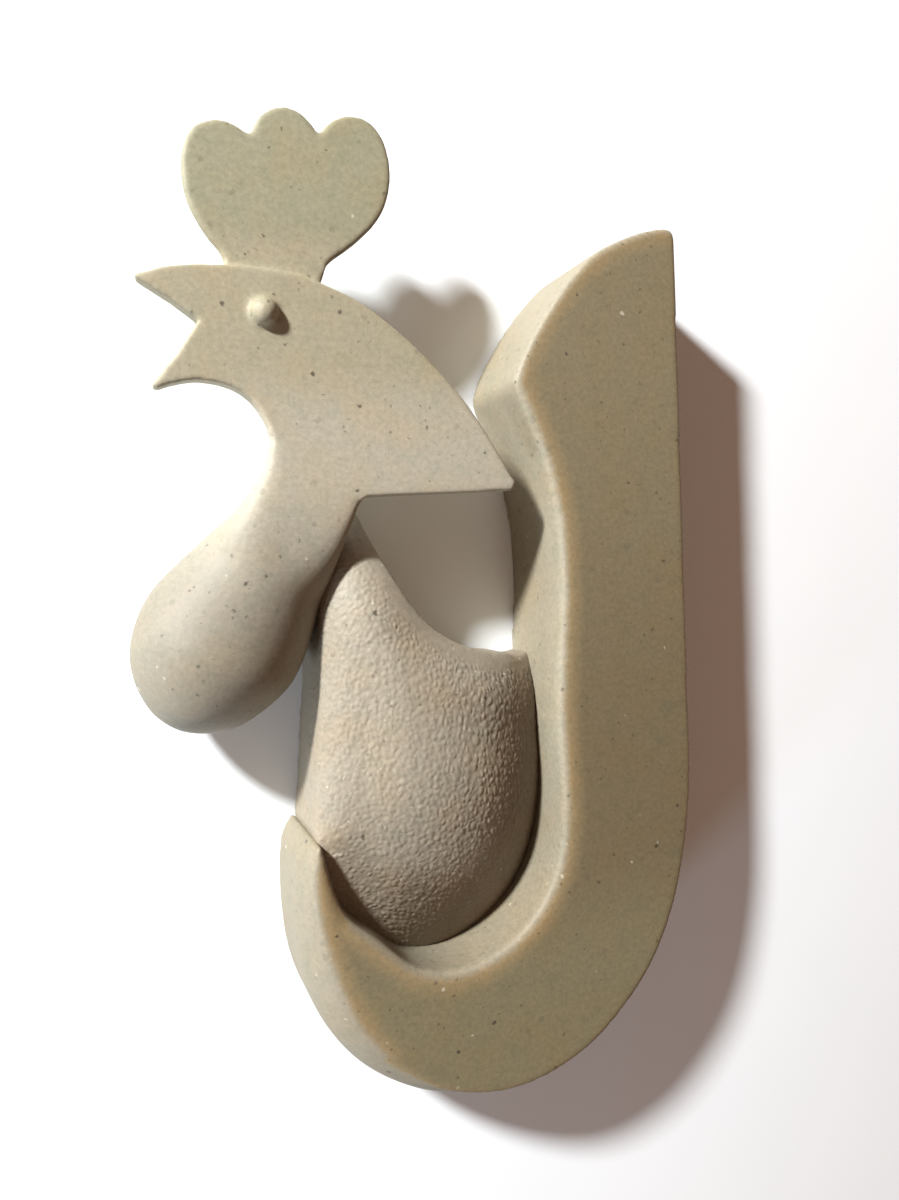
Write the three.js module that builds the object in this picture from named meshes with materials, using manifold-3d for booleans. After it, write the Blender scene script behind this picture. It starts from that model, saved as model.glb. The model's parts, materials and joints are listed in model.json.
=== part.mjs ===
// A stylised rooster figure, modelled as it lies on its flat back with its front face up.
// Lengths are millimetres. X runs across the figure from the beak side to the tail side,
// Y runs from the round foot to the comb, and Z points out of the front face.

import * as THREE from 'three';
import { mergeVertices } from 'three/addons/utils/BufferGeometryUtils.js';
import Module from 'manifold-3d';

const wasm = await Module();
wasm.setup();

// Driving sizes
const figureHeight = 100;    // foot of the tail band to the top of the comb, sets the drawn outlines
const bandDepth = 12.5;      // front face of the tail band to its flat back
const plateThickness = 2.2;  // head, beak and hackle, one flat plate level with the band's face
const combThickness = 1.4;   // the comb is thinner, and its back is level with the head's back
const seamGap = 0.3;         // glue line between neighbouring pieces

// Tail band
const tailWidth = 16.7;      // upright part of the band, across its straight stretch
const tailTaper = 1.3;       // how much the upright's outer side leans out up to its top corner
const flankDepth = 5;        // depth over which the hook's outer flank rolls out from its ridge

// Body
const crownRise = 0.7;       // the breast's highest point above the band's face
const rimDrop = 6.2;         // how far the breast has fallen below the band's face at the upright
const bowlDrop = 8.6;        // the same at the bottom of the hook, its lowest place
const pointDrop = 1.4;       // the same beside the hook's point
const shoulderDrop = 6.5;    // the same on the free left side, where the crown rolls over

// Head
const hackleGap = 4.6;       // the hackle's lower corner to the tail band
const eyeDiameter = 3;
const eyeHeight = 1.4;

// Wattle
const wattleProud = 0.9;     // how far the wattle bulges in front of the head's face
const restClearance = 0.3;   // the wattle's round back stays this far above the surface it lies on
const wattleWidth = 16.2;    // at the widest place of the bulb
const neckWidth = 10.4;      // where the neck leaves the head plate

// Fineness of the curves
const samplesPerSpan = 5;    // points between two spots of an outline
const flankSteps = 6;        // rings on the hook's rolled flank
const crownSteps = 14;       // rings from the breast's rim to its crown
const wattleSides = 36;
const wattleStepsPerSection = 3;

// The outlines are drawn on a grid of a hundred squares for the figure's height.
const square = figureHeight / 100;
const spot = (x, y) => new THREE.Vector2(x * square, y * square);

// Points along a smooth curve through the given spots, without its last one.
function smooth(spots) {
  const curve = new THREE.SplineCurve(spots);
  return curve.getPoints((spots.length - 1) * samplesPerSpan).slice(0, -1);
}

// A closed outline moved outwards by a distance, or inwards by a negative one.
function offsetOutline(outline, distance) {
  const side = THREE.ShapeUtils.isClockWise(outline) ? -1 : 1;
  return outline.map((point, i) => {
    const before = outline[(i + outline.length - 1) % outline.length];
    const after = outline[(i + 1) % outline.length];
    const into = point.clone().sub(before).normalize();
    const away = after.clone().sub(point).normalize();
    const along = into.add(away).normalize();
    return new THREE.Vector2(along.y, -along.x).multiplyScalar(side * distance).add(point);
  });
}

// A closed geometry from rings with equal numbers of points, lowest ring first.
// Each ring runs anticlockwise seen from above, and the last may be a single top point.
function skin(rings) {
  const count = rings[0].length;
  const vertices = rings.flat();
  const faces = [];
  const floor = THREE.ShapeUtils.triangulateShape(rings[0].map((p) => new THREE.Vector2(p.x, p.y)), []);
  floor.forEach(([a, b, c]) => faces.push(a, c, b));
  const top = rings.at(-1);
  const walls = top.length === 1 ? rings.length - 2 : rings.length - 1;
  for (let level = 0; level < walls; level += 1) {
    for (let i = 0; i < count; i += 1) {
      const a = level * count + i;
      const b = level * count + ((i + 1) % count);
      faces.push(a, b, b + count, a, b + count, a + count);
    }
  }
  const last = walls * count;
  if (top.length === 1) {
    for (let i = 0; i < count; i += 1) {
      faces.push(last + i, last + ((i + 1) % count), last + count);
    }
  } else {
    const lid = THREE.ShapeUtils.triangulateShape(top.map((p) => new THREE.Vector2(p.x, p.y)), []);
    lid.forEach(([a, b, c]) => faces.push(last + a, last + b, last + c));
  }
  const geometry = new THREE.BufferGeometry();
  const numbers = vertices.flatMap((p) => p.toArray());
  geometry.setAttribute('position', new THREE.Float32BufferAttribute(numbers, 3));
  geometry.setIndex(faces);
  return geometry;
}

// A closed geometry through rings that stand across a bending form, with flat first and last rings.
function loft(rings) {
  const count = rings[0].length;
  const faces = [];
  for (let station = 0; station < rings.length - 1; station += 1) {
    for (let i = 0; i < count; i += 1) {
      const a = station * count + i;
      const b = station * count + ((i + 1) % count);
      faces.push(a, b, b + count, a, b + count, a + count);
    }
  }
  const last = (rings.length - 1) * count;
  for (let i = 1; i < count - 1; i += 1) {
    faces.push(0, i + 1, i, last, last + i, last + i + 1);
  }
  const geometry = new THREE.BufferGeometry();
  const numbers = rings.flat().flatMap((p) => p.toArray());
  geometry.setAttribute('position', new THREE.Float32BufferAttribute(numbers, 3));
  geometry.setIndex(faces);
  return geometry;
}

function plate(outline, low, high) {
  const settings = { depth: high - low, bevelEnabled: false };
  return new THREE.ExtrudeGeometry(new THREE.Shape(outline), settings).translate(0, 0, low);
}

function solidFrom(geometry) {
  const bare = geometry.clone();
  bare.deleteAttribute('normal');
  bare.deleteAttribute('uv');
  const merged = mergeVertices(bare, 1e-4);
  return new wasm.Manifold(new wasm.Mesh({
    numProp: 3,
    vertProperties: new Float32Array(merged.attributes.position.array),
    triVerts: new Uint32Array(merged.index.array),
  }));
}

function geometryFrom(solid) {
  const mesh = solid.getMesh();
  const geometry = new THREE.BufferGeometry();
  geometry.setAttribute('position', new THREE.Float32BufferAttribute(mesh.vertProperties, 3));
  geometry.setIndex([...mesh.triVerts]);
  return geometry;
}

const blend = (from, to, share) => from + (to - from) * share;
const ease = THREE.MathUtils.smoothstep;

// Tail band: an upright blade that rounds under the body and ends in a pointed hook.

// The inner edge is drawn for a band of this width. A wider or narrower band moves it sideways,
// all the way along the upright, and less and less towards the blade's corner and the hook's point.
const drawnTailWidth = spot(16.7, 0).x;
const innerShift = drawnTailWidth - tailWidth;
const innerSpot = (x, y, share = 1) => spot(x, y).add(new THREE.Vector2(innerShift * share, 0));
const innerUpper = [
  innerSpot(9.4, 24.1), innerSpot(11.3, 19.4), innerSpot(12.9, 14.4), innerSpot(13.7, 8.6),
  innerSpot(13.7, 2.8), innerSpot(13.1, -3.4),
];
const innerLower = [
  innerSpot(13.1, -3.4), innerSpot(12.4, -12), innerSpot(12.5, -20.5), innerSpot(11.1, -28.1),
  innerSpot(7, -33.4, 0.8), innerSpot(1, -36, 0.5), spot(-4.6, -35.1), spot(-8.8, -31.3),
  spot(-12.4, -27.4), spot(-14, -20.7),
];

// The straight outer side of the upright begins here, and leans out up to the top corner.
const outerFoot = spot(28.9, -18);

// The hook's ridge on the front face and its widest line deeper down run side by side
// and meet the plain outer wall under the upright.
const outerRidge = [
  spot(-14.4, -20.6), spot(-15, -23.4), spot(-14.9, -26.8), spot(-14.3, -30.3), spot(-13.3, -34.1),
  spot(-11.9, -38.1), spot(-9.8, -41.7), spot(-6.9, -44.9), spot(-3.2, -47.8), spot(1.5, -49.6),
  spot(5.7, -50), spot(10, -49.3), spot(14.8, -47.3), spot(19.3, -43.8), spot(22.9, -39.7),
  spot(25.7, -34.3), spot(27.5, -28.3), spot(28.5, -22.8), outerFoot,
];
const outerWidest = [
  spot(-14.7, -20.4), spot(-15.9, -22.6), spot(-16.4, -26.6), spot(-16.4, -31.2), spot(-15.8, -35.8),
  spot(-14.2, -40.2), spot(-11.6, -44.2), spot(-8.2, -47.3), spot(-3.9, -49.6), spot(1.4, -50.4),
  spot(5.8, -50.5), spot(10.3, -49.7), spot(15.1, -47.6), spot(19.6, -44), spot(23.2, -39.9),
  spot(25.9, -34.4), spot(27.6, -28.3), spot(28.6, -22.8), outerFoot,
];
const topCorner = spot(28.9, 41.1).add(new THREE.Vector2(tailTaper, 0));
const cornerRound = [spot(0, -0.7), spot(-0.2, 0), spot(-0.6, 0.35)].map((p) => p.add(topCorner));
const bladeTop = [
  topCorner.clone().add(spot(-1.2, 0.45)), spot(26, 40.9), spot(22.6, 39.6), innerSpot(19.6, 38, 0.2),
  innerSpot(16.5, 35.1, 0.4), innerSpot(13.9, 31.9, 0.6), innerSpot(11.6, 28.6, 0.8),
  innerSpot(9.8, 25.3), innerSpot(9.5, 24.8),
];

function bandOutline(outer) {
  return [
    ...smooth(outer),
    outerFoot, ...cornerRound,
    ...smooth(bladeTop),
    ...smooth(innerUpper),
    ...smooth(innerLower),
    innerLower.at(-1),
  ];
}

const ridgeLine = bandOutline(outerRidge);
const widestLine = bandOutline(outerWidest);

// The flank rolls from the ridge to the widest line on an arc that ends upright.
function flankRing(turn) {
  return ridgeLine.map((ridge, i) => {
    const widest = widestLine[i];
    const reach = ridge.distanceTo(widest);
    const start = 2 * Math.atan2(reach, flankDepth);
    const radius = flankDepth / Math.sin(start);
    const angle = start * turn;
    const share = reach > 0 ? (radius * (Math.cos(angle) - Math.cos(start))) / reach : 0;
    const drop = reach > 0 ? radius * (Math.sin(start) - Math.sin(angle)) : flankDepth * (1 - turn);
    const place = ridge.clone().lerp(widest, share);
    return new THREE.Vector3(place.x, place.y, bandDepth - drop);
  });
}

const flankTurns = Array.from({ length: flankSteps + 1 }, (_, i) => i / flankSteps);
const bandBase = widestLine.map((p) => new THREE.Vector3(p.x, p.y, 0));
const bandGeometry = skin([bandBase, ...flankTurns.map(flankRing)]);

// Head plate: beak, head and hackle, cut off at the neck by a slanting line.

const throatEnd = spot(-16.3, 18.6);
const neckAcross = spot(8.4, -6.3).normalize();
const windowCorner = throatEnd.clone().addScaledVector(neckAcross, neckWidth);
// What lies beside the neck is drawn for this width, and moves over with the neck's right side.
const drawnNeckWidth = spot(10.4, 0).x;
const neckSpot = (x, y, share = 1) => (
  spot(x, y).addScaledVector(neckAcross, (neckWidth - drawnNeckWidth) * share)
);
// The head's end face and the neck's end face leave the glue line between them.
const neckFall = new THREE.Vector2(neckAcross.y, -neckAcross.x);
const headThroatEnd = throatEnd.clone().addScaledVector(neckFall, -seamGap);
const headWindowCorner = windowCorner.clone().addScaledVector(neckFall, -seamGap);
// The hackle's tip keeps its gap to the upright's inner edge.
const hackleTip = innerSpot(13.3, 13.4).sub(new THREE.Vector2(hackleGap, 0));
const drawnHackleTip = spot(8.7, 13.4);
const hackleSpot = (x, y, share) => (
  spot(x, y).addScaledVector(hackleTip.clone().sub(drawnHackleTip), share)
);

const crownLine = [
  spot(-27.1, 33.2), spot(-25.2, 34.1), spot(-21.6, 34.6), spot(-17.2, 34.7), spot(-13, 34.3),
  spot(-9.2, 33), spot(-5.6, 31.1), spot(-1.2, 27.6), hackleSpot(3, 23.2, 0.3), hackleSpot(6, 18.9, 0.7),
  hackleTip.clone().add(spot(0, 0.7)),
];
const underHackle = [
  hackleTip.clone().add(spot(-0.5, -0.1)), windowCorner.clone().add(spot(0.9, 0.6)),
];
const throat = [
  headThroatEnd, spot(-16.6, 20.4), spot(-17.8, 22.3), spot(-19.8, 23.6), spot(-22.8, 24.1),
  spot(-25.7, 23.5),
];
const gape = [spot(-26.3, 23.8), spot(-24.3, 26.3), spot(-22.1, 29.5), spot(-24.4, 31.3)];
const headOutline = [...smooth(crownLine), crownLine.at(-1), ...underHackle, headWindowCorner,
  ...smooth(throat), throat.at(-1), ...gape];

const plateBack = bandDepth - plateThickness;

// Wattle: the neck leaves the plate flat and swells into a hanging egg. Each pair of spots is
// one section's left and right end, and the last pair closes the round tip.
const drawnWattleWidth = spot(16.2, 0).x;
const bulbScale = wattleWidth / drawnWattleWidth;
const sections = [
  [throatEnd, windowCorner],
  [spot(-16.9, 15.9), neckSpot(-8.8, 10.4, 0.8)],
  [spot(-19.4, 12.4), neckSpot(-10, 7.2, 0.5)],
  [spot(-22.4, 9.9), neckSpot(-11.2, 3.6, 0.2)],
  [spot(-25.3, 7.4), spot(-12.2, 0.3)],
  [spot(-27.7, 5.1), spot(-13.4, -2.6)],
  [spot(-29.4, 2.2), spot(-15.1, -5.4)],
  [spot(-30.2, -1), spot(-17.7, -7.5)],
  [spot(-29.8, -4), spot(-20.6, -9)],
  [spot(-28.6, -6.6), spot(-23.7, -9.3)],
  [spot(-27.2, -8), spot(-26, -8.8)],
];
// Shares of the way down from the neck to the round tip.
const bulbStart = 0.3;     // the neck begins to widen into the bulb
const bulbWidest = 0.62;
const frontStart = 0.1;    // the front begins to rise above the head's face
const backDown = 0.42;     // the back has come down to the bulb's full depth
const roundFrom = 0.36;    // the section has turned from square to round
const neckSquareness = 8;
const roundSquareness = 2;
const bulbCentreZ = (bandDepth + wattleProud + restClearance) / 2;
const bulbHalfDepth = (bandDepth + wattleProud - restClearance) / 2;

function wattleRings(grow) {
  const leftSide = new THREE.SplineCurve(sections.map((pair) => pair[0]));
  const rightSide = new THREE.SplineCurve(sections.map((pair) => pair[1]));
  const widest = leftSide.getPoint(bulbWidest).distanceTo(rightSide.getPoint(bulbWidest)) / 2;
  const steps = (sections.length - 1) * wattleStepsPerSection;
  const rings = [];
  for (let i = 0; i <= steps; i += 1) {
    const t = i / steps;
    const left = leftSide.getPoint(t);
    const right = rightSide.getPoint(t);
    const centre = left.clone().add(right).multiplyScalar(0.5);
    const across = right.clone().sub(left).normalize();
    const swell = blend(1, bulbScale, ease(t, bulbStart, bulbWidest));
    const halfWidth = (left.distanceTo(right) / 2) * swell + grow;
    const front = blend(bandDepth, bulbCentreZ + bulbHalfDepth, ease(t, frontStart, bulbWidest));
    const back = blend(plateBack, bulbCentreZ - bulbHalfDepth, ease(t, 0, backDown));
    const taper = t > bulbWidest ? Math.min(1, left.distanceTo(right) / 2 / widest) : 1;
    const middle = (front + back) / 2;
    const halfDepth = ((front - back) / 2) * taper + grow;
    const squareness = blend(neckSquareness, roundSquareness, ease(t, 0, roundFrom));
    rings.push(ovalRing(centre, across, halfWidth, middle, halfDepth, squareness));
  }
  return rings;
}

// One section of the neck or bulb: squarish at the plate and round at the bulb.
function ovalRing(centre, across, halfWidth, middle, halfDepth, squareness) {
  const ring = [];
  for (let i = 0; i < wattleSides; i += 1) {
    const angle = ((i + 0.5) / wattleSides) * Math.PI * 2;
    const wide = Math.sign(Math.cos(angle)) * Math.abs(Math.cos(angle)) ** (2 / squareness);
    const deep = Math.sign(Math.sin(angle)) * Math.abs(Math.sin(angle)) ** (2 / squareness);
    ring.push(new THREE.Vector3(
      centre.x + across.x * halfWidth * wide,
      centre.y + across.y * halfWidth * wide,
      middle + halfDepth * deep,
    ));
  }
  return ring;
}

// Body: the breast fills the bowl of the band, crowned on the left and falling to the right
// and the bottom. Each rim spot has its height, how late the crown starts to fall towards it,
// and how tightly it rolls over: 1 is an even dome, and a smaller value is a tighter roll.

const breastTop = spot(9.4, -4.6);
const contact = smooth(innerLower).filter((p) => p.y < breastTop.y);
const contactInside = offsetOutline(
  [...contact, innerLower.at(-1), spot(-12, -10)],
  -seamGap,
).slice(0, contact.length + 1);
const freeEdge = [
  spot(-14.1, -19.4), spot(-13.7, -16), spot(-13.1, -10.5), spot(-12.5, -6), spot(-12.2, -1),
  spot(-11.9, 4), neckSpot(-11, 9, 0.5), neckSpot(-9.4, 13.2), neckSpot(-8, 14.3), neckSpot(-7.2, 13.4),
  neckSpot(-6.2, 9.4, 0.8), neckSpot(-4.9, 6, 0.5), neckSpot(-3.2, 2.7, 0.2), spot(-1.5, 0.3),
  spot(0.6, -1.5), innerSpot(3.2, -2.9, 0.4), innerSpot(6.2, -3.9, 0.8), innerSpot(9.4, -4.4),
];
const crownSpot = spot(-6.5, -14.5);
const bodyCrown = bandDepth + crownRise;

const contactDrops = [
  rimDrop, rimDrop, blend(rimDrop, bowlDrop, 0.5), bowlDrop, bowlDrop,
  blend(pointDrop, bowlDrop, 0.65), pointDrop,
];
const freeDrops = [
  pointDrop, blend(pointDrop, shoulderDrop, 0.6), shoulderDrop, shoulderDrop, shoulderDrop,
  blend(shoulderDrop, rimDrop, 0.3), blend(shoulderDrop, rimDrop, 0.5), blend(shoulderDrop, rimDrop, 0.7),
  rimDrop, rimDrop,
];
const contactFall = 3.2;
const contactRoll = [0.5, 0.85, 1, 1, 1, 0.8, 0.4];
const freeFall = [3, 3, 2.8, 2.4, 2.2, 2.2, 2.6, 3];
const freeRoll = [0.4, 0.36, 0.36, 0.42, 0.48, 0.48, 0.48, 0.5];

// The value at a share of the way along a smooth curve through an evenly spaced list.
function along(list, share) {
  const curve = new THREE.SplineCurve(list.map((value, i) => new THREE.Vector2(i, value)));
  return curve.getPoint(share).y;
}

function rimPoints() {
  const free = smooth(freeEdge);
  const rim = contactInside.map((p, i) => {
    const share = i / (contactInside.length - 1);
    return { p, drop: along(contactDrops, share), fall: contactFall, roll: along(contactRoll, share) };
  });
  free.forEach((p, i) => {
    const share = i / (free.length - 1);
    rim.push({ p, drop: along(freeDrops, share), fall: along(freeFall, share), roll: along(freeRoll, share) });
  });
  return rim;
}

function bodyGeometry() {
  const rim = rimPoints();
  if (THREE.ShapeUtils.isClockWise(rim.map((r) => r.p))) {
    rim.reverse();
  }
  const rings = [rim.map((r) => new THREE.Vector3(r.p.x, r.p.y, 0))];
  for (let i = 0; i < crownSteps; i += 1) {
    // The rings lie close together at the rim, where the breast rolls over.
    const share = 1 - (i / crownSteps) ** 2;
    rings.push(rim.map((r) => {
      const place = crownSpot.clone().lerp(r.p, share);
      const rimZ = bandDepth - r.drop;
      const rise = (1 - share ** r.fall) ** r.roll;
      return new THREE.Vector3(place.x, place.y, blend(rimZ, bodyCrown, rise));
    }));
  }
  rings.push([new THREE.Vector3(crownSpot.x, crownSpot.y, bodyCrown)]);
  return skin(rings);
}

const wattleBlank = solidFrom(loft(wattleRings(0)));
const wattleRoom = solidFrom(loft(wattleRings(seamGap)));
const headRoomOutline = offsetOutline(headOutline, seamGap);
const headRoom = solidFrom(plate(headRoomOutline, plateBack - seamGap, bandDepth + seamGap));
const breast = solidFrom(bodyGeometry()).subtract(wattleRoom).subtract(headRoom);

// Comb: three lobes over a waist that stands on the head's top edge, set back from its face.

const combEnd = spot(-10.2, 32.4);
const combLobes = [
  [spot(-19.2, 33.4), spot(-19.4, 35.8), spot(-20.8, 37.9), spot(-22.1, 41), spot(-22.3, 44.4),
    spot(-21.2, 47.3), spot(-19, 48.4), spot(-17.4, 48.1), spot(-16, 47.2)],
  [spot(-16, 47.2), spot(-15.2, 48.9), spot(-14, 49.9), spot(-12.6, 50.3), spot(-11.2, 49.9),
    spot(-10.2, 49), spot(-9.6, 48)],
  [spot(-9.6, 48), spot(-8.2, 49.5), spot(-6.4, 50.2), spot(-4.5, 49.8), spot(-3.1, 47.9),
    spot(-2.7, 44.6), spot(-3.8, 41), spot(-6.5, 37.9), spot(-9.3, 35.7), spot(-10.4, 34.2),
    combEnd],
];
const combOutline = [...combLobes.flatMap((lobe) => smooth(lobe)), combEnd];
const combBlank = solidFrom(plate(combOutline, plateBack, plateBack + combThickness));
const combSolid = combBlank.subtract(headRoom);

// Eye: a high round bead on the head's face.

const eyeSpot = spot(-16.1, 30.4);

function eyeGeometry() {
  const profile = [new THREE.Vector2(0, 0)];
  const steps = 6;
  for (let i = 0; i <= steps; i += 1) {
    const angle = (i / steps) * (Math.PI / 2);
    profile.push(new THREE.Vector2((Math.cos(angle) * eyeDiameter) / 2, Math.sin(angle) * eyeHeight));
  }
  const sides = 20;
  return new THREE.LatheGeometry(profile, sides).rotateX(Math.PI / 2);
}

const stoneResin = (color) => new THREE.MeshStandardMaterial({ color, roughness: 0.55, metalness: 0 });

const figure = new THREE.Group();

function place(name, geometry, color) {
  const mesh = new THREE.Mesh(geometry, stoneResin(color));
  mesh.name = name;
  figure.add(mesh);
  return mesh;
}

place('tail_band', bandGeometry, 0x8e8163);
place('body', geometryFrom(breast), 0xb8aa90);
place('head_plate', plate(headOutline, plateBack, bandDepth), 0xb3aa89);
place('wattle', geometryFrom(wattleBlank), 0xc4b79a);
place('comb', geometryFrom(combSolid), 0xb9af92);
const eye = place('eye', eyeGeometry(), 0xc6b998);
eye.position.set(eyeSpot.x, eyeSpot.y, bandDepth);

// The origin is under the middle of the figure, on the surface that it lies on.
const bounds = new THREE.Box3().setFromObject(figure);
const middle = bounds.getCenter(new THREE.Vector3());
figure.position.set(-middle.x, -middle.y, -bounds.min.z);

export default figure;
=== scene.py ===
import json
import math

import bpy
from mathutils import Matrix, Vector, kdtree, noise

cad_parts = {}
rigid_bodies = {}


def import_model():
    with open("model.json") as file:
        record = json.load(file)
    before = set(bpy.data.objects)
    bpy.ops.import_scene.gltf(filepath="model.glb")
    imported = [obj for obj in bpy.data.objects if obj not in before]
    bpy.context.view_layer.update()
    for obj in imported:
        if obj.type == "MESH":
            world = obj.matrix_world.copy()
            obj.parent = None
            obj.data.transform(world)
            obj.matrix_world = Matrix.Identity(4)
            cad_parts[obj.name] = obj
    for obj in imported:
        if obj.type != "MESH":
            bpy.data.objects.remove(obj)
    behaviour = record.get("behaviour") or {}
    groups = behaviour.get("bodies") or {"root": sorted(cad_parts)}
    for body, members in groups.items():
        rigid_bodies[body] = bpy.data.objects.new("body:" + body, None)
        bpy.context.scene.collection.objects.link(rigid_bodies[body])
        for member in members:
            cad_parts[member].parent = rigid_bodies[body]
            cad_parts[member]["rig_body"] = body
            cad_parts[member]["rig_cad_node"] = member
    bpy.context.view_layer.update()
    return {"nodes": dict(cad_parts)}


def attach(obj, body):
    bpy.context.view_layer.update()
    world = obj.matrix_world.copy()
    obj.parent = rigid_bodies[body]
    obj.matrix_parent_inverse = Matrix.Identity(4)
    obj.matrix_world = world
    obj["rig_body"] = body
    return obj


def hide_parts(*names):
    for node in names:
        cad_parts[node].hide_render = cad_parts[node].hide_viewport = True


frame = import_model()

MM = 0.001

# The view: a phone held a hand's width above the figure, a little to its beak side.
# The lens is written for a frame as tall as the sensor's 36 mm side.
camera_place = Vector((-32.24, 6.51, 97.74)) * MM
camera_turn = [math.radians(angle) for angle in (-1.273, -21.219, -3.739)]
bpy.ops.object.camera_add(location=camera_place, rotation=camera_turn)
camera = bpy.context.active_object
camera.data.sensor_fit = "VERTICAL"
camera.data.sensor_height = 36
camera.data.lens = 27
camera.data.clip_start = 5 * MM
camera.data.clip_end = 10
bpy.context.scene.camera = camera

# Table: a sheet of matt white drawing paper under the figure, pressed from pulp, which leaves
# faint clouds in its white and a fine tooth on its surface.
paper_side = 700 * MM
paper_colour = "F3F9FC"
pulp_cloud_colour = "EFF6FA"
pulp_cloud_width = 18 * MM
tooth_width = 0.5 * MM
tooth_depth = 0.02 * MM
tooth_strength = 0.2
paper_roughness = 0.9
paper_gloss = 0.2


def srgb(code):
    """The linear colour of an sRGB hex value."""
    channels = [int(code[i:i + 2], 16) / 255 for i in (0, 2, 4)]
    return [c / 12.92 if c <= 0.04045 else ((c + 0.055) / 1.055) ** 2.4 for c in channels] + [1]


def add_node(owner, kind, settings=None, links=None):
    """One node with its settings, its unlinked inputs' values and its links."""
    tree = owner.node_tree
    node = tree.nodes.new(kind)
    for name, value in (settings or {}).items():
        if isinstance(name, str) and hasattr(node, name):
            setattr(node, name, value)
        else:
            node.inputs[name].default_value = value
    for name, socket in (links or {}).items():
        tree.links.new(socket, node.inputs[name])
    return node


def new_material(name):
    """An empty material, and the object's own coordinates to hang its patterns on."""
    material = bpy.data.materials.new(name)
    material.use_nodes = True
    material.node_tree.nodes.clear()
    place = add_node(material, "ShaderNodeTexCoord").outputs["Object"]
    return material, place


bpy.ops.object.select_all(action="DESELECT")
bpy.ops.mesh.primitive_plane_add(size=paper_side, location=(0, 0, 0))
paper = bpy.context.active_object
paper.name = "paper"
pulp, place = new_material("pressed_paper")
cloud = add_node(pulp, "ShaderNodeTexNoise", {"Scale": 1 / pulp_cloud_width, "Detail": 4},
                 {"Vector": place})
tooth = add_node(pulp, "ShaderNodeTexNoise", {"Scale": 1 / tooth_width, "Detail": 3}, {"Vector": place})
tint = add_node(pulp, "ShaderNodeMix", {
    "data_type": "RGBA", 6: srgb(paper_colour), 7: srgb(pulp_cloud_colour)}, {0: cloud.outputs["Fac"]})
relief = add_node(pulp, "ShaderNodeBump", {"Strength": tooth_strength, "Distance": tooth_depth},
                  {"Height": tooth.outputs["Fac"]})
matt = add_node(pulp, "ShaderNodeBsdfPrincipled", {
    "Roughness": paper_roughness, "Specular IOR Level": paper_gloss}, {
    "Base Color": tint.outputs[2], "Normal": relief.outputs["Normal"]})
add_node(pulp, "ShaderNodeOutputMaterial", {}, {"Surface": matt.outputs["BSDF"]})
paper.data.materials.append(pulp)

# Light: a small soft lamp at the upper left, a dim cool window low at the lower left, and a warm
# brown room around them. Where the room itself is seen, past the paper, it is a pale backdrop.
room_colour = (1.0, 0.6, 0.42, 1)
room_strength = 0.23
backdrop_colour = (0.8, 0.79, 0.77, 1)
lamp_aim = Vector((0, 0, 8)) * MM
# Each lamp's name, place, width, watts and colour.
lamps = [
    ("lamp", Vector((-347, 307, 245)) * MM, 55 * MM, 6.35, (1.0, 0.998, 0.995)),
    ("window_light", Vector((-210, -180, 61)) * MM, 60 * MM, 0.31, (0.72, 0.86, 1.0)),
]

for name, spot, width, watts, colour in lamps:
    bpy.ops.object.light_add(type="AREA", location=spot)
    lamp = bpy.context.active_object
    lamp.name = name
    lamp.data.shape = "DISK"
    lamp.data.size = width
    lamp.data.energy = watts
    lamp.data.color = colour
    lamp.rotation_mode = "QUATERNION"
    lamp.rotation_quaternion = (spot - lamp_aim).to_track_quat("Z", "Y")
world = bpy.data.worlds.new("room")
world.use_nodes = True
world.node_tree.nodes.clear()
room = add_node(world, "ShaderNodeBackground", {"Color": room_colour, "Strength": room_strength})
backdrop = add_node(world, "ShaderNodeBackground", {"Color": backdrop_colour})
seen = add_node(world, "ShaderNodeLightPath")
sky = add_node(world, "ShaderNodeMixShader", {}, {
    0: seen.outputs["Is Camera Ray"], 1: room.outputs[0], 2: backdrop.outputs[0]})
add_node(world, "ShaderNodeOutputWorld", {}, {"Surface": sky.outputs[0]})
bpy.context.scene.world = world
bpy.context.scene.view_settings.view_transform = "Standard"

# Tail band: one thick bar of cast stone resin, flat in front and at the back. It is the tail
# above, rounds under the breast as the foot, and ends in a hook whose outer flank is rolled
# over. Its edges were eased by hand, a little more along the bowl.
band_grid = 0.3 * MM
band_passes = 5
bowl_centre = Vector((3, -10))
bowl_edge_floor = 11.6
bowl_edge_tilt = (0.25, 0.93)
bowl_edge_reach = 2.4
bowl_passes = 30
crease_spot = (9.4, 24.3)
crease_depths = range(12)
crease_reach = 3
crease_passes = 60
face_floor = 11.8
face_tilt = 0.8
face_edge_floor = 11
face_edge_tilt = (0.3, 0.9)
# The lamp's side in plan. Edges on that side get a wide painted warm glow of light, the others a narrow
# one, and only part of it.
lit_side = Vector((-0.66, 0.75, 0))
lit_edge_glow_width = 2.4
unlit_edge_glow_width = 0.6
unlit_edge_glow_share = 0.6

# The cast's colours: the walls; the front face, painted darker than the walls as painted shade for the
# lamp's grazing light and its fall-off down the figure; and a warm edge colour, a painted glow of light
# coming through the edges on the lamp's side. A drift's two heights are in millimetres, and its tint is
# fully there at the second.
tail_wall = "938C79"
tail_edge_glow = "8E7D5C"
tail_shaded_face = "7B7259"
# The drifts make the walls and the face darker towards the bottom, and the face lighter and cooler at the
# foot.
tail_wall_drifts = ((-14, -24, (0.86, 0.85, 0.84, 1)),)
tail_face_drifts = ((30, -18, (0.78, 0.74, 0.7, 1)), (-26, -38, (1.18, 1.28, 1.3, 1)))
warm_tint = (1.04, 0.98, 0.9, 1)
cool_tint = (0.9, 0.94, 0.94, 1)
dark_grit = "2E2A22"
grey_grit = "4E5044"
pale_grit = "D8D2C0"
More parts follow.
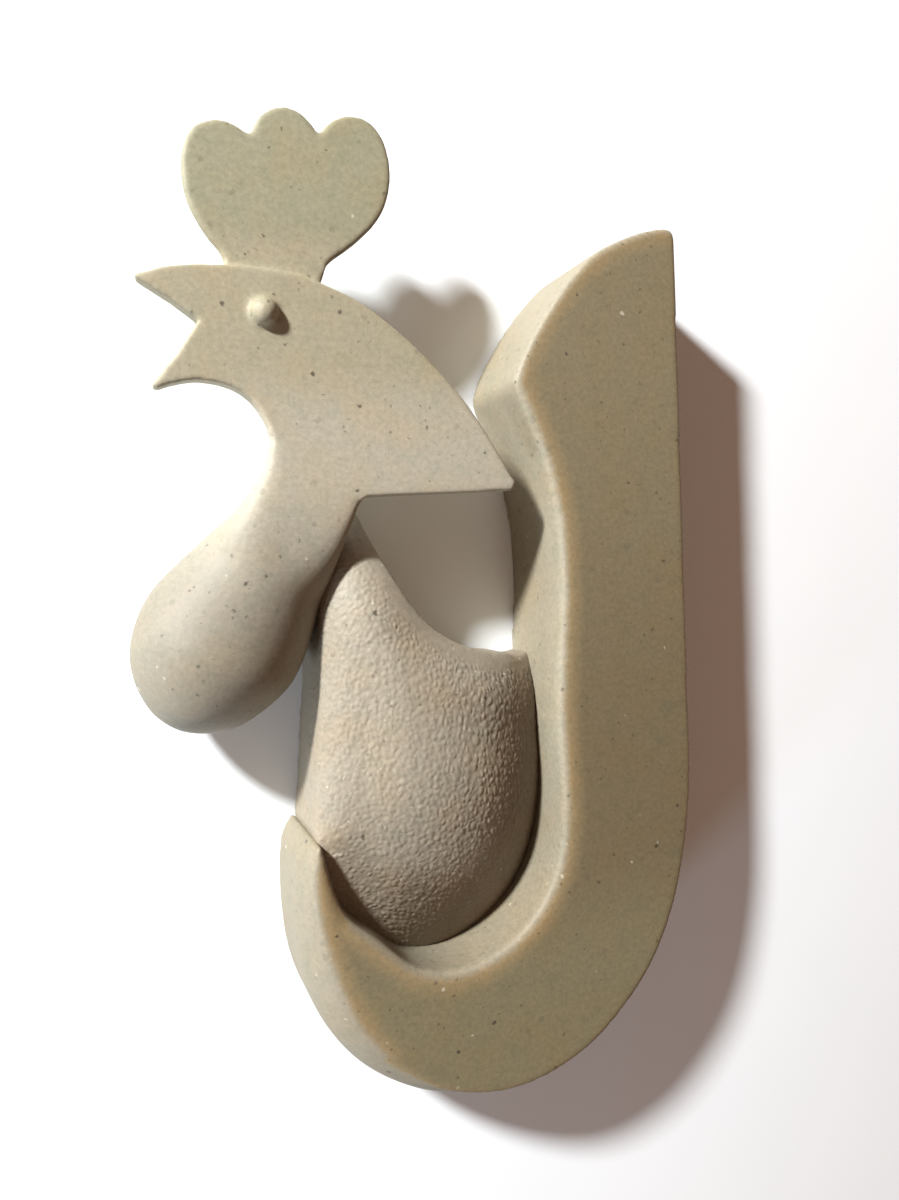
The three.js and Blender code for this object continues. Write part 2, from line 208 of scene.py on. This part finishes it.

# The cast's patterns, with widths in millimetres: broad warm patches, small cool clouds and the
# sand itself. An onset is where in its noise a pattern begins and where it is fully there.
# Where the painted edge glow and the painted face shade begin and are fully there, along the face light
# paint attribute.
edge_onset = (0.02, 0.3)
face_onset = (0.25, 1.0)
patch_width = 6
patch_onset = (0.45, 0.65)
patch_strength = 0.8
cloud_width = 1.8
cloud_onset = (0.48, 0.66)
cloud_strength = 0.9
sand_width = 0.5
sand_onset = (0.36, 0.64)
sand_contrast = 0.13
sand_depth = 0.03
sand_relief = 0.5
swirl_width = 0.4
swirl_reach = 0.5
grit_turn = -0.45
grit_softness = 0.03
# Each grit's spacing and largest radius, the share of spots that hold a grain, its colour and
# strength, and how many times longer than wide it is. The last row is lint fibres.
grits = (
    (1.7, 0.4, 0.45, grey_grit, 0.25, 1),
    (0.9, 0.15, 0.4, dark_grit, 0.4, 1),
    (2.3, 0.24, 0.5, dark_grit, 0.75, 1),
    (1.3, 0.2, 0.5, dark_grit, 0.5, 1),
    (1.9, 0.22, 0.4, pale_grit, 0.45, 1),
    (4.5, 0.2, 0.45, pale_grit, 0.8, 5),
)
# Painted glints: pale specks on the breast's pebbles that stand in for the sparkle of light on them.
glint_spacing = 0.8
glint_radius = 0.12
glint_share = 0.35
resin_ior = 1.52
satin_onset = (0.3, 0.7)
satin_roughness = (0.55, 0.69)


def stone_resin(name, ground_code, drifts=(), painted_face_codes=None, painted_shade=None, glints=0.0, pits=0.0):
    """Cast resin filled with fine sand: a satin, faintly mottled ground with dark and pale grit.
    It reads as soft limestone. Where face codes are given, the flat front is painted darker than the walls,
    painted shade for the lamp's grazing light, with a painted warm glow along its edges where light comes
    through them. Drifts are tints multiplied in further down the figure. A painted shade is a brown tint
    multiplied in where its attribute says, for the shade in a recess. Glints are painted glints, pale
    specks standing in for sparkle on the pebbles, and pits deepen the sand's relief there."""
    stone, place = new_material(name)
    height = add_node(stone, "ShaderNodeSeparateXYZ", {}, {0: place}).outputs["Y"]

    def drifted(code, drifts):
        """A colour with the tints that it takes on further down the cast."""
        colour = add_node(stone, "ShaderNodeRGB").outputs[0]
        colour.default_value = srgb(code)
        for top, bottom, tint in drifts:
            drift = add_node(stone, "ShaderNodeMapRange", {
                "interpolation_type": "SMOOTHSTEP", 1: top * MM, 2: bottom * MM}, {0: height})
            colour = add_node(stone, "ShaderNodeMix", {
                "data_type": "RGBA", "blend_type": "MULTIPLY", 7: tint},
                {0: drift.outputs[0], 6: colour}).outputs[2]
        return colour

    base = drifted(ground_code, drifts)
    # Painted shade over the front face and a painted warm glow of light along its edges, as the face light
    # paint attribute says.
    if painted_face_codes:
        edge_code, face_code, face_drifts = painted_face_codes
        face_light_paint = add_node(stone, "ShaderNodeAttribute", {"attribute_name": "face_light_paint"}).outputs["Fac"]
        edge_share = add_node(stone, "ShaderNodeMapRange", {1: edge_onset[0], 2: edge_onset[1]},
                              {0: face_light_paint})
        face_share = add_node(stone, "ShaderNodeMapRange", {1: face_onset[0], 2: face_onset[1]},
                              {0: face_light_paint})
        edge = add_node(stone, "ShaderNodeMix", {"data_type": "RGBA", 7: srgb(edge_code)},
                        {0: edge_share.outputs[0], 6: base})
        base = add_node(stone, "ShaderNodeMix", {"data_type": "RGBA"}, {
            0: face_share.outputs[0], 6: edge.outputs[2], 7: drifted(face_code, face_drifts)}).outputs[2]
    # Painted shade: the brown tint multiplied in as far as the painted shade attribute says.
    if painted_shade:
        painted_shade_share = add_node(stone, "ShaderNodeAttribute", {"attribute_name": "painted_shade"}).outputs["Fac"]
        base = add_node(stone, "ShaderNodeMix", {"data_type": "RGBA", "blend_type": "MULTIPLY", 7: painted_shade},
                        {0: painted_shade_share, 6: base}).outputs[2]
    patches = add_node(stone, "ShaderNodeTexNoise", {"Scale": 1 / (patch_width * MM), "Detail": 4},
                       {"Vector": place})
    warm_share = add_node(stone, "ShaderNodeMapRange", {
        1: patch_onset[0], 2: patch_onset[1], 3: 0.0, 4: patch_strength}, {0: patches.outputs["Fac"]})
    warmed = add_node(stone, "ShaderNodeMix", {"data_type": "RGBA", "blend_type": "MULTIPLY", 7: warm_tint},
                      {0: warm_share.outputs[0], 6: base})
    clouds = add_node(stone, "ShaderNodeTexNoise", {
        "Scale": 1 / (cloud_width * MM), "Detail": 4, "Roughness": 0.6}, {"Vector": place})
    cool_share = add_node(stone, "ShaderNodeMapRange", {
        1: cloud_onset[0], 2: cloud_onset[1], 3: 0.0, 4: cloud_strength}, {0: clouds.outputs["Fac"]})
    ground = add_node(stone, "ShaderNodeMix", {"data_type": "RGBA", "blend_type": "MULTIPLY", 7: cool_tint},
                      {0: cool_share.outputs[0], 6: warmed.outputs[2]})
    sand = add_node(stone, "ShaderNodeTexNoise", {
        "Scale": 1 / (sand_width * MM), "Detail": 6, "Roughness": 0.8}, {"Vector": place})
    sand_share = add_node(stone, "ShaderNodeMapRange", {
        1: sand_onset[0], 2: sand_onset[1], 3: 1 - sand_contrast, 4: 1 + sand_contrast},
        {0: sand.outputs["Fac"]})
    sanded = add_node(stone, "ShaderNodeVectorMath", {"operation": "SCALE"},
                      {0: ground.outputs[2], "Scale": sand_share.outputs[0]})
    colour = sanded.outputs[0]
    swirl = add_node(stone, "ShaderNodeTexNoise", {"Scale": 1 / (swirl_width * MM), "Detail": 2},
                     {"Vector": place})
    swing = add_node(stone, "ShaderNodeVectorMath", {"operation": "SUBTRACT", 1: (0.5, 0.5, 0.5)},
                     {0: swirl.outputs["Color"]})
    crooked = add_node(stone, "ShaderNodeVectorMath", {"operation": "SCALE", "Scale": swirl_reach * MM},
                       {0: swing.outputs[0]})
    uneven = add_node(stone, "ShaderNodeVectorMath", {"operation": "ADD"},
                      {0: place, 1: crooked.outputs[0]}).outputs[0]
    # The painted glints come last.
    glint_row = (glint_spacing, glint_radius, glint_share, pale_grit, glints, 1)
    for spacing, radius, share, code, strength, stretch in grits + (glint_row,):
        turned = add_node(stone, "ShaderNodeMapping", {
            "Rotation": (0, 0, grit_turn), "Scale": (1 / stretch, 1, 1)}, {"Vector": uneven})
        cells = add_node(stone, "ShaderNodeTexVoronoi", {"Scale": 1 / (spacing * MM)},
                         {"Vector": turned.outputs[0]})
        chance = add_node(stone, "ShaderNodeSeparateColor", {}, {0: cells.outputs["Color"]})
        chosen = add_node(stone, "ShaderNodeMath", {"operation": "LESS_THAN", 1: share},
                          {0: chance.outputs[0]})
        size = add_node(stone, "ShaderNodeMath", {"operation": "MULTIPLY", 1: radius / spacing},
                        {0: chance.outputs[1]})
        inside = add_node(stone, "ShaderNodeMath", {"operation": "SUBTRACT"},
                          {0: size.outputs[0], 1: cells.outputs["Distance"]})
        soft = add_node(stone, "ShaderNodeMapRange", {
            1: -grit_softness, 2: grit_softness, 3: 0.0, 4: strength}, {0: inside.outputs[0]})
        shown = add_node(stone, "ShaderNodeMath", {"operation": "MULTIPLY"},
                         {0: soft.outputs[0], 1: chosen.outputs[0]})
        colour = add_node(stone, "ShaderNodeMix", {"data_type": "RGBA", 7: srgb(code)},
                          {0: shown.outputs[0], 6: colour}).outputs[2]
    sheen = add_node(stone, "ShaderNodeMapRange", {
        1: satin_onset[0], 2: satin_onset[1], 3: satin_roughness[0], 4: satin_roughness[1]},
        {0: sand.outputs["Fac"]})
    relief = add_node(stone, "ShaderNodeBump", {
        "Strength": sand_relief, "Distance": (sand_depth + pits) * MM}, {"Height": sand.outputs["Fac"]})
    satin = add_node(stone, "ShaderNodeBsdfPrincipled", {"IOR": resin_ior}, {
        "Base Color": colour, "Roughness": sheen.outputs[0], "Normal": relief.outputs["Normal"]})
    add_node(stone, "ShaderNodeOutputMaterial", {}, {"Surface": satin.outputs["BSDF"]})
    return stone


def select_only(piece):
    """Leaves one object selected and active."""
    bpy.ops.object.select_all(action="DESELECT")
    piece.select_set(True)
    bpy.context.view_layer.objects.active = piece


def copy_of(node, name):
    """A free copy of a CAD node with its loose triangles merged."""
    select_only(frame["nodes"][node])
    bpy.ops.object.duplicate()
    piece = bpy.context.active_object
    piece.name = name
    piece.parent = None
    del piece["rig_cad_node"]
    del piece["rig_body"]
    piece.data.materials.clear()
    bpy.ops.mesh.customdata_custom_splitnormals_clear()
    bpy.ops.object.mode_set(mode="EDIT")
    bpy.ops.mesh.select_all(action="SELECT")
    bpy.ops.mesh.remove_doubles(threshold=0.001 * MM)
    bpy.ops.object.mode_set(mode="OBJECT")
    return piece


def apply_modifier(piece, kind, **settings):
    """Adds a modifier with its settings and applies it."""
    select_only(piece)
    modifier = piece.modifiers.new(kind.lower(), kind)
    for name, value in settings.items():
        setattr(modifier, name, value)
    bpy.ops.object.modifier_apply(modifier=modifier.name)


def smooth_points(piece, passes, group=""):
    """Smooths a piece in passes, all over or as strongly as a vertex group says."""
    apply_modifier(piece, "SMOOTH", factor=0.5, iterations=passes, vertex_group=group)


def soften(piece, name, passes, weight_of):
    """Smooths each point as strongly as its place in millimetres says."""
    group = piece.vertex_groups.new(name=name)
    for point in piece.data.vertices:
        weight = weight_of(point.co / MM)
        if weight > 0:
            group.add([point.index], weight, "REPLACE")
    smooth_points(piece, passes, name)


def closeness(places, reach):
    """A function that is 1 at the given places and falls to 0 at a reach from them."""
    tree = kdtree.KDTree(len(places))
    for index, place in enumerate(places):
        tree.insert(place, index)
    tree.balance()
    return lambda place: max(0.0, 1 - tree.find(place)[2] / reach)


def edge_places(piece, floor, tilt, chosen):
    """Places on a piece's eased front edge, where the point is as chosen."""
    return [point.co / MM for point in piece.data.vertices
            if point.co.z > floor * MM and tilt[0] < point.normal.z < tilt[1] and chosen(point)]


def smooth_shade(piece, angle=60):
    """Shades a piece smooth across all but its sharp edges."""
    select_only(piece)
    bpy.ops.object.shade_smooth_by_angle(angle=math.radians(angle))


def finish_piece(piece, material, node):
    """Gives a piece its material, and puts it in the place of its CAD node."""
    piece.data.materials.append(material)
    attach(piece, "root")
    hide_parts(node)


tail = copy_of("tail_band", "tail")
apply_modifier(tail, "REMESH", mode="VOXEL", voxel_size=band_grid)
smooth_points(tail, band_passes)
near_bowl_edge = closeness(edge_places(
    tail, bowl_edge_floor, bowl_edge_tilt,
    lambda point: point.normal.xy.dot(bowl_centre - point.co.xy / MM) > 0), bowl_edge_reach)
soften(tail, "bowl_edge", bowl_passes, near_bowl_edge)
near_crease = closeness([Vector((*crease_spot, depth)) for depth in crease_depths], crease_reach)
soften(tail, "crease", crease_passes, lambda place: near_crease(place) if place.z < face_floor else 0.0)
# How far the painted warm glow reaches in from the face's edges, on the lamp's side and on the other.
lit_edge_glow = closeness(edge_places(
    tail, face_edge_floor, face_edge_tilt, lambda point: lit_side.dot(point.normal) > 0), lit_edge_glow_width)
unlit_edge_glow = closeness(edge_places(
    tail, face_edge_floor, face_edge_tilt, lambda point: lit_side.dot(point.normal) <= 0), unlit_edge_glow_width)


def paint_face_light(place, normal):
    """How much painted shade the front face has at a point, from 0 on a wall or an edge to 1; between lies
    the painted warm glow, widest along the edges on the lamp's side.
    """
    if normal.z < face_tilt or place.z < face_floor:
        return 0.0
    return min(1 - lit_edge_glow(place), 1 - unlit_edge_glow_share * unlit_edge_glow(place))


# The painted face shade and edge glow, stored on each point.
face_light_paint = tail.data.attributes.new("face_light_paint", "FLOAT", "POINT")
face_light_paint.data.foreach_set("value", [paint_face_light(point.co / MM, point.normal) for point in tail.data.vertices])
smooth_shade(tail)
olive_stone = stone_resin("cast_stone_olive", tail_wall, drifts=tail_wall_drifts,
                          painted_face_codes=(tail_edge_glow, tail_shaded_face, tail_face_drifts))
finish_piece(tail, olive_stone, "tail_band")

# Breast: a crowned block of the same casting, seated in the bowl of the tail band. Its face is pebbled like
# fine leather up to a smooth strip along the open window, and a brown tint darkens it in the recess by the
# bowl's wall and thinly on the free left side: painted shade.
skin_floor = 1
flat_tilt = 0.5
skin_cuts = 3
wall_tilt = 0.3

# How far the block grows towards the band, and its corner towards the window. Two numbers for a
# place, here and below, are a start and a run: nothing at the start, and all of it a run on.
seat_reach = 4.5
seat_growth = 0.75
bowl_growth = 2.0
bowl_side = (-12, 6)
corner_rise = 1.7
corner_across = (9.8, 2.6)
corner_along = (-14, 6)

# The face's height in plan: its crest, how fast it falls each way, and its rolled edges.
breast_height = 13.1
crest_x = -4.0
crest_y = -14.0
crest_drift = 1.5
right_fall = 0.017
right_dive = 0.000022
lower_fall = 0.0165
upper_fall = 0.031
left_slope = 0.3
left_ease = 4.0
upper_part = (-8, 8)
upper_lean = 0.6
hook_part = (-12, -8)
hook_ease = 0.5
rim_height = 0.1
rim_tilt = 0.3
window_rim_from = (-8.5, -6)
window_roll = 2.3
window_reach = 6.0
free_rim_span = (-19.5, 12)
free_rim_right = -8
free_roll = 1.7
free_reach = 3.2

# The skin's grid, the pebbles with the worm-like folds between them, and how they fade out. The
# noise that sways the pebbles follows the clock until it is seeded, so it gets a fixed seed.
breast_grid = 0.315 * MM
breast_passes = 6
top_tilt = 0.3
shoulder_tilt = -0.2
shoulder_floor = 4
fine_passes = 2
pebble_width = 0.47
pebble_height = 0.115
pebble_middle = 0.6
pebble_stretch = 0.5
stretched_part = (-8, 16)
sway_seed = 1795737200
sway_pace = 0.55
sway_reach = 0.5
cell_pace = 0.8
crease_slope = 2.2
worm_pace = 0.9
worm_start = Vector((7, 3, 1))
crease_part = 0.6
worm_part = 0.4
smooth_strip = (1.2, 1.1)
bare_side = (2.5, 3)
right_coarser = 0.35
right_part = (0, 8)

# The painted shade, a brown tint deep in the recess by the bowl's wall and thin on the free left side, and
# the colour of the cast under it.
painted_shade_tint = (0.38, 0.28, 0.22, 1)
painted_shade_reach = 8.5
full_painted_shade = 0.95
painted_shade_body = 0.6
painted_shade_down = (-3.5, -5)
painted_shade_across = (-8, 9)
thin_painted_shade = 0.2
thin_painted_shade_left = (-6, -6)
breast_ground = "9B9484"
# How strong the painted glints on the breast are, and how deep its pits.
breast_glints = 0.6
breast_pits = 0.01


def ramp(value, start, run):
    """0 up to the start, 1 from a run further on, and straight between. A run may go down."""
    return max(0.0, min(1.0, (value - start) / run))


def displace(piece, step_of):
    """Moves each point by a step in millimetres worked out from its place and normal."""
    steps = [step_of(point.co / MM, point.normal) for point in piece.data.vertices]
    for point, step in zip(piece.data.vertices, steps):
        point.co += step * MM


def select_faces(piece, chosen):
    """Selects the chosen faces of a piece, ready for edit mode."""
    select_only(piece)
    bpy.ops.object.mode_set(mode="EDIT")
    bpy.ops.mesh.select_all(action="DESELECT")
    bpy.ops.object.mode_set(mode="OBJECT")
    for face in piece.data.polygons:
        face.select = chosen(face)


def subdivide_selected(cuts):
    """Cuts the selected faces of the active piece into smaller ones."""
    bpy.ops.object.mode_set(mode="EDIT")
    bpy.ops.mesh.subdivide(number_cuts=cuts, smoothness=0)
    bpy.ops.object.mode_set(mode="OBJECT")


def in_plan(place):
    """A place set down flat on the table."""
    return Vector((place.x, place.y, 0))


breast = copy_of("body", "breast")
select_faces(breast, lambda face: (
    min(breast.data.vertices[i].co.z for i in face.vertices) > skin_floor * MM
    or abs(face.normal.z) > flat_tilt))
subdivide_selected(skin_cuts)

band_walls = [in_plan(point.co) / MM for point in tail.data.vertices if abs(point.normal.z) < wall_tilt]
wall_tree = kdtree.KDTree(len(band_walls))
for index, spot in enumerate(band_walls):
    wall_tree.insert(spot, index)
wall_tree.balance()


def seat(place, normal):
    """The step towards the band that closes the seam between the breast and it."""
    flat = in_plan(place)
    wall, _, distance = wall_tree.find(flat)
    if distance < seat_reach:
        growth = seat_growth + (bowl_growth - seat_growth) * ramp(place.x, *bowl_side)
        return (wall - flat).normalized() * growth * (1 - distance / seat_reach)
    return Vector()


def raise_corner(place, normal):
    """The step that carries the breast's upper right corner up to the foot of the window."""
    across = ramp(place.x, *corner_across)
    along = ramp(place.y, *corner_along)
    rise = corner_rise * across * across * (3 - 2 * across) * along * along * (3 - 2 * along)
    return Vector((0, rise, 0))


displace(breast, raise_corner)
displace(breast, seat)


def rim_places(chosen):
    """The breast's outline in plan, where its outward direction and its place are as chosen."""
    return [in_plan(point.co) / MM for point in breast.data.vertices
            if point.co.z < rim_height * MM and point.normal.xy.length > rim_tilt
            and chosen(point.normal.xy.normalized(), point.co / MM)]


near_window = closeness(rim_places(lambda out, place: (
    out.x + out.y > rim_tilt and place.x > window_rim_from[0] and place.y > window_rim_from[1])),
    window_reach)
near_free = closeness(rim_places(lambda out, place: (
    out.x < -rim_tilt and place.x <= free_rim_right and free_rim_span[0] < place.y < free_rim_span[1])),
    free_reach)


def dome(place):
    """The height of the breast's face: a crown that falls away towards the bowl on the right and
    below, leans to the left, and rolls over at the window and at the free left side."""
    flat = in_plan(place)
    right = max(0.0, place.x - crest_x)
    upper = ramp(place.y, *upper_part)
    left = max(0.0, crest_x - crest_drift * upper - place.x)
    lean = left_slope * (left * left / (2 * left_ease) if left < left_ease else left - left_ease / 2)
    lean *= 1 - hook_ease * ramp(place.y, *hook_part) + upper_lean * upper
    down = max(0.0, crest_y - place.y)
    up = max(0.0, place.y)
    window = window_roll * near_window(flat) ** 2
    share = near_free(flat)
    free = free_roll * (1 - math.sqrt(max(0.0, 1 - share * share)))
    bowl = right_fall * right ** 2 + right_dive * right ** 4 + lower_fall * down ** 2
    return breast_height - bowl - lean - upper_fall * up ** 2 - window - free


displace(breast, lambda place, normal: (
    Vector((0, 0, dome(place) - place.z)) if place.z > skin_floor else Vector()))
apply_modifier(breast, "REMESH", mode="VOXEL", voxel_size=breast_grid)
smooth_points(breast, breast_passes)
select_faces(breast, lambda face: face.normal.z > top_tilt or (
    face.normal.x < shoulder_tilt and face.center.z > shoulder_floor * MM))
subdivide_selected(1)
smooth_points(breast, fine_passes)


def pebble(place):
    """The height of the leather grain, 0 in the creases and about 1 on a pebble."""
    stretch = 1.0 + pebble_stretch * ramp(place.x, *stretched_part)
    spot = Vector((place.x, place.y / stretch, place.z)) / pebble_width
    sway = noise.noise_vector(spot * sway_pace) * sway_reach
    near, far = noise.voronoi((spot + sway) * cell_pace)[0][:2]
    crease = min(1.0, (far - near) * crease_slope)
    worm = 1 - abs(noise.noise(spot * worm_pace + worm_start))
    return crease_part * crease + worm_part * worm * worm


def grain(place, normal):
    """The step that raises the pebbles, fading out towards the window and down the free side."""
    strip = (1 - near_window(in_plan(place))) * window_reach
    fade = ramp(strip, *smooth_strip) * ramp(place.z, *bare_side)
    rise = pebble_height * (1.0 + right_coarser * ramp(place.x, *right_part))
    return normal * ((pebble(place) - pebble_middle) * rise * fade)


noise.seed_set(sway_seed)
displace(breast, grain)


def recess(place):
    """How much painted shade a point gets: most by the bowl's wall, a little on the free left side, and
    none up at the window."""
    distance = wall_tree.find(in_plan(place))[2]
    deep = max(0.0, 1 - distance / painted_shade_reach) * ramp(place.y, *painted_shade_down)
    thin = thin_painted_shade * ramp(place.x, *thin_painted_shade_left)
    return thin + (1 - thin) * full_painted_shade * deep ** painted_shade_body * ramp(place.x, *painted_shade_across)


# The painted shade in the recess by the bowl and thinly on the left, stored on each point.
painted_shade = breast.data.attributes.new("painted_shade", "FLOAT", "POINT")
painted_shade.data.foreach_set("value", [recess(point.co / MM) for point in breast.data.vertices])
smooth_shade(breast, 180)
grained_stone = stone_resin("cast_stone_grained", breast_ground, painted_shade=painted_shade_tint,
                            glints=breast_glints, pits=breast_pits)
finish_piece(breast, grained_stone, "body")

# Head: beak, head and hackle in one thin plate. Neck, comb and eye were cast as one with it, so
# the four are joined into one blank and softened where they meet. The sections that follow part
# the others off again, where nothing shows.
head_grid = 0.2 * MM
head_passes = 5
face_height = 12.5
beak_tip = Vector((-27.4, 33.2))
jaw_tip = Vector((-26.6, 23.5))
tip_depths = (10.3, 11.4, 12.5)
tip_reach = 2.2
tip_passes = 24
# The steps that carry the corners of the plate out, since the softening draws them back in.
corner_steps = (
    ((-27.1, 33.2), (-0.5, 0.1, 0)),
    ((-26.3, 23.7), (-0.45, -0.25, 0)),
    ((8.6, 13.4), (0.25, -0.2, 0)),
)
corner_reach = 0.9

# How far the neck, the comb and the eye go into the plate, so that they join.
neck_slant = (0.6, 0.8)
neck_top = 5.0
neck_overlap = (0.48, 0.64, 0)
comb_root = 35.3
comb_sides = (-20, -8)
comb_overlap = (0, -0.9, 0)
comb_face = 11.6
comb_set_back = 0.3
eye_centre = Vector((-16.11, 30.53))
eye_foot = 12.6
eye_overlap = (0, 0, -0.5)
bead_trim = 0.08

# Where the blank is softened, and how much: the wattle most, then the rear of the plate, the
# tips of beak and jaw, the foot of the bead, and the crown under the comb.
wattle_part = (11, -8)
wattle_passes = 40
window_corner = Vector((-8, 12.4))
rear_floor = 12
rear_face = 11.4
rear_reach = 3
rear_passes = 24
bead_radius = 1.5
bead_points = 24
bead_reach = 0.7
bead_passes = 10
crown_heights = (11.75, 12.4)
crown_sides = (-20, -8.5)
crown_span = (33.2, 35.2)
crown_tilt = 0.8
crown_reach = 1.5
crown_floor = 11
crown_passes = 12


def shift_points(piece, chosen, step):
    """Moves the chosen points of a piece by a step in millimetres."""
    select_only(piece)
    bpy.ops.object.mode_set(mode="EDIT")
    bpy.ops.mesh.select_all(action="DESELECT")
    bpy.ops.object.mode_set(mode="OBJECT")
    for point in piece.data.vertices:
        point.select = chosen(point.co / MM)
    bpy.ops.object.mode_set(mode="EDIT")
    bpy.ops.transform.translate(value=Vector(step) * MM)
    bpy.ops.object.mode_set(mode="OBJECT")


def along_neck(place):
    """How far up the neck's slant a place lies."""
    return neck_slant[0] * place.x + neck_slant[1] * place.y


head = copy_of("head_plate", "head")
for corner, step in corner_steps:
    shift_points(head, lambda place: (place.xy - Vector(corner)).length < corner_reach, step)
wattle = copy_of("wattle", "neck_and_wattle")
shift_points(wattle, lambda place: along_neck(place) > neck_top, neck_overlap)
comb = copy_of("comb", "comb_lobes")
shift_points(comb, lambda place: (
    place.y < comb_root and comb_sides[0] < place.x < comb_sides[1]), comb_overlap)
shift_points(comb, lambda place: place.z > comb_face, (0, 0, -comb_set_back))
eye = copy_of("eye", "eye_bead")
shift_points(eye, lambda place: place.z < eye_foot, eye_overlap)
displace(eye, lambda place, normal: ((eye_centre - place.xy) * bead_trim).to_3d())
bpy.ops.object.select_all(action="DESELECT")
for piece in (wattle, comb, eye, head):
    piece.select_set(True)
bpy.context.view_layer.objects.active = head
bpy.ops.object.join()
apply_modifier(head, "REMESH", mode="VOXEL", voxel_size=head_grid)
smooth_points(head, head_passes)
soften(head, "wattle", wattle_passes, lambda place: ramp(place.y, *wattle_part))
soften(head, "rear", rear_passes, lambda place: (
    min(1.0, (place.xy - window_corner).length / rear_reach)
    if place.y > rear_floor and place.z < rear_face else 0.0))
near_tips = closeness([
    tip.to_3d() + Vector((0, 0, depth)) for tip in (beak_tip, jaw_tip) for depth in tip_depths], tip_reach)
soften(head, "tips", tip_passes, near_tips)
near_bead = closeness([
    eye_centre.to_3d() + Vector((bead_radius * math.cos(turn), bead_radius * math.sin(turn), face_height))
    for turn in range(bead_points)], bead_reach)
soften(head, "bead_foot", bead_passes, near_bead)
near_crown = closeness([
    point.co / MM for point in head.data.vertices
    if crown_heights[0] < point.co.z / MM < crown_heights[1] and point.normal.z < crown_tilt
    and crown_span[0] < point.co.y / MM < crown_span[1]
    and crown_sides[0] < point.co.x / MM < crown_sides[1]], crown_reach)
soften(head, "comb_foot", crown_passes, lambda place: near_crown(place) if place.z > crown_floor else 0.0)

# Neck and wattle: the neck flows down out of the head plate and swells into the round wattle, in the same
# pale cast, which turns lighter and bluer down the neck and is painted darker over the wattle's lower part
# as painted shade. It is parted from the plate squarely across the neck.
neck_cut = Vector((-12.15, 15.61, 11.4)) * MM
neck_up = Vector((*neck_slant, 0.0))
neck_end = 9
hackle_floor = 19.5
head_ground = "9A947D"
neck_drift = (27, 19, (1.18, 1.2, 1.36, 1))
# The wattle's drift darkens its lower part: painted shade.
wattle_painted_shade = (16, 4, (0.64, 0.63, 0.62, 1))


def part_off(piece, cut, facing, chosen, name):
    """Parts off what lies past a cut, within the chosen place, and closes both cut ends."""
    select_faces(piece, lambda face: chosen(face.center / MM))
    bpy.ops.object.mode_set(mode="EDIT")
    bpy.ops.mesh.bisect(plane_co=cut, plane_no=facing, threshold=0.0001 * MM)
    bpy.ops.object.mode_set(mode="OBJECT")
    select_faces(piece, lambda face: chosen(face.center / MM) and (face.center - cut).dot(facing) > 0)
    bpy.ops.object.mode_set(mode="EDIT")
    bpy.ops.mesh.separate(type="SELECTED")
    bpy.ops.object.mode_set(mode="OBJECT")
    parted = [other for other in bpy.context.selected_objects if other is not piece][0]
    parted.name = name
    for part in (piece, parted):
        select_only(part)
        bpy.ops.object.mode_set(mode="EDIT")
        bpy.ops.mesh.select_mode(type="EDGE")
        bpy.ops.mesh.select_all(action="DESELECT")
        bpy.ops.mesh.select_non_manifold()
        bpy.ops.mesh.edge_face_add()
        bpy.ops.mesh.select_mode(type="VERT")
        bpy.ops.mesh.select_all(action="SELECT")
        bpy.ops.mesh.normals_make_consistent(inside=False)
        bpy.ops.object.mode_set(mode="OBJECT")
    return parted


wattle = part_off(head, neck_cut, -neck_up,
                  lambda place: place.y < hackle_floor and along_neck(place) < neck_end, "neck_and_wattle")
pale_stone = stone_resin("cast_stone_pale", head_ground, drifts=(neck_drift, wattle_painted_shade))
smooth_shade(wattle)
finish_piece(wattle, pale_stone, "wattle")

# Comb: three rounded lobes on the head's top edge, a step behind its face. The cast is a little
# greener here. The lobes spread a touch further apart than the solid's do.
comb_cut = Vector((-14, 36.3, 11)) * MM
comb_floor = 35.5
comb_middle = -14.3
comb_spread = 0.03
spread_part = (36.5, 3)
comb_ground = "8F8C74"
comb_drift = (39.5, 36.3, (1.18, 1.13, 1.19, 1))

comb = part_off(head, comb_cut, Vector((0, 1, 0)), lambda place: place.y > comb_floor, "comb_lobes")
displace(comb, lambda place, normal: Vector((
    comb_spread * (place.x - comb_middle) * ramp(place.y, *spread_part), 0, 0)))
comb_stone = stone_resin("cast_stone_comb", comb_ground, drifts=(comb_drift,))
smooth_shade(comb)
finish_piece(comb, comb_stone, "comb")

# Eye: a high round bead, cast with the head and of the same pale resin. It stands on the head's
# face on a soft fillet, and is parted just above it.
eye_cut = 12.72 * MM
eye_reach = 2.5

eye = part_off(head, Vector((0, 0, eye_cut)), Vector((0, 0, 1)),
               lambda place: (place.xy - eye_centre).length < eye_reach, "eye_bead")
smooth_shade(eye)
finish_piece(eye, pale_stone, "eye")

# Head plate: what is left of the blank, beak, head and hackle, once the other three are off it.
# It keeps the fillets that the softening left at the comb's foot and round the eye.
smooth_shade(head)
finish_piece(head, pale_stone, "head_plate")
